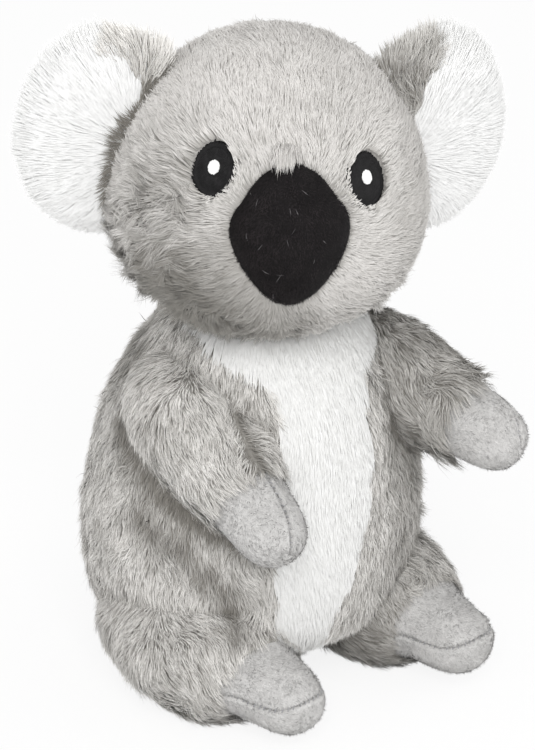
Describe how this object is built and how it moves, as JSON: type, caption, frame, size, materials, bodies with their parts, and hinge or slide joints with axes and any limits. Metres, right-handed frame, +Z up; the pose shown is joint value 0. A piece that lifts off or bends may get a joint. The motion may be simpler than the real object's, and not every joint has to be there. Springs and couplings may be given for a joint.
{
  "type": "plush koala",
  "caption": "Sitting stuffed koala with pile skins, velour hands, feet and nose, sewn eyes, and a head, limbs and ears that turn at their seams.",
  "frame": {"origin": "middle of the flat face that the body sits on", "axes": "+Z up, -Y the way the body faces, +X the koala's left"},
  "size_m": [0.1314, 0.1123, 0.2012],
  "materials": {
    "grey_pile": "long grey pile with darker strands",
    "white_pile": "long soft white pile",
    "grey_velour": "short cool grey velour",
    "black_velour": "short black velour",
    "black_thread": "satin stitched black thread",
    "white_thread": "satin stitched white thread",
    "stuffing": "loose white polyester wadding"
  },
  "bodies": {
    "torso": {"body_skin": "grey_pile", "belly_panel": "white_pile", "body_stuffing": "stuffing"},
    "head": {"head_skin": "grey_pile", "head_stuffing": "stuffing", "nose_cover": "black_velour", "nose_padding": "stuffing", "eye_left": "black_thread", "eye_right": "black_thread", "eye_glint_left": "white_thread", "eye_glint_right": "white_thread"},
    "ear_left": {"ear_front_left": "white_pile", "ear_back_left": "grey_pile", "ear_padding_left": "stuffing"},
    "ear_right": {"ear_front_right": "white_pile", "ear_back_right": "grey_pile", "ear_padding_right": "stuffing"},
    "arm_left": {"arm_sleeve_left": "grey_pile", "arm_stuffing_left": "stuffing", "hand_back_left": "grey_velour", "hand_palm_left": "grey_velour"},
    "arm_right": {"arm_sleeve_right": "grey_pile", "arm_stuffing_right": "stuffing", "hand_back_right": "grey_velour", "hand_palm_right": "grey_velour"},
    "leg_left": {"leg_sleeve_left": "grey_pile", "leg_stuffing_left": "stuffing", "foot_upper_left": "grey_velour", "foot_sole_left": "grey_velour"},
    "leg_right": {"leg_sleeve_right": "grey_pile", "leg_stuffing_right": "stuffing", "foot_upper_right": "grey_velour", "foot_sole_right": "grey_velour"}
  },
  "joints": [
    {"name": "neck_turn", "type": "hinge", "parent": "torso", "child": "head", "pos_m": [0, -0.012, 0.1204], "axis": [0, 0, 1], "range_deg": [-20, 60]},
    {"name": "shoulder_swing_left", "type": "hinge", "parent": "torso", "child": "arm_left", "pos_m": [0.031, -0.014, 0.0934], "axis": [-0.8803, 0.1501, -0.4501], "range_deg": [-5, 35]},
    {"name": "shoulder_swing_right", "type": "hinge", "parent": "torso", "child": "arm_right", "pos_m": [-0.031, -0.014, 0.0934], "axis": [-0.8803, -0.1501, 0.4501], "range_deg": [-5, 35]},
    {"name": "hip_swing_left", "type": "hinge", "parent": "torso", "child": "leg_left", "pos_m": [0.03, -0.012, 0.02], "axis": [-1, 0, 0], "range_deg": [0, 15]},
    {"name": "hip_swing_right", "type": "hinge", "parent": "torso", "child": "leg_right", "pos_m": [-0.03, -0.012, 0.02], "axis": [-1, 0, 0], "range_deg": [0, 15]},
    {"name": "ear_fold_left", "type": "hinge", "parent": "head", "child": "ear_left", "pos_m": [0.03897, -0.02966, 0.16638], "axis": [-0.0787, 0.0375, -0.9962], "range_deg": [-12, 12]},
    {"name": "ear_fold_right", "type": "hinge", "parent": "head", "child": "ear_right", "pos_m": [-0.03503, 0.00564, 0.17004], "axis": [0.0787, -0.0375, 0.9962], "range_deg": [-12, 12]}
  ]
}
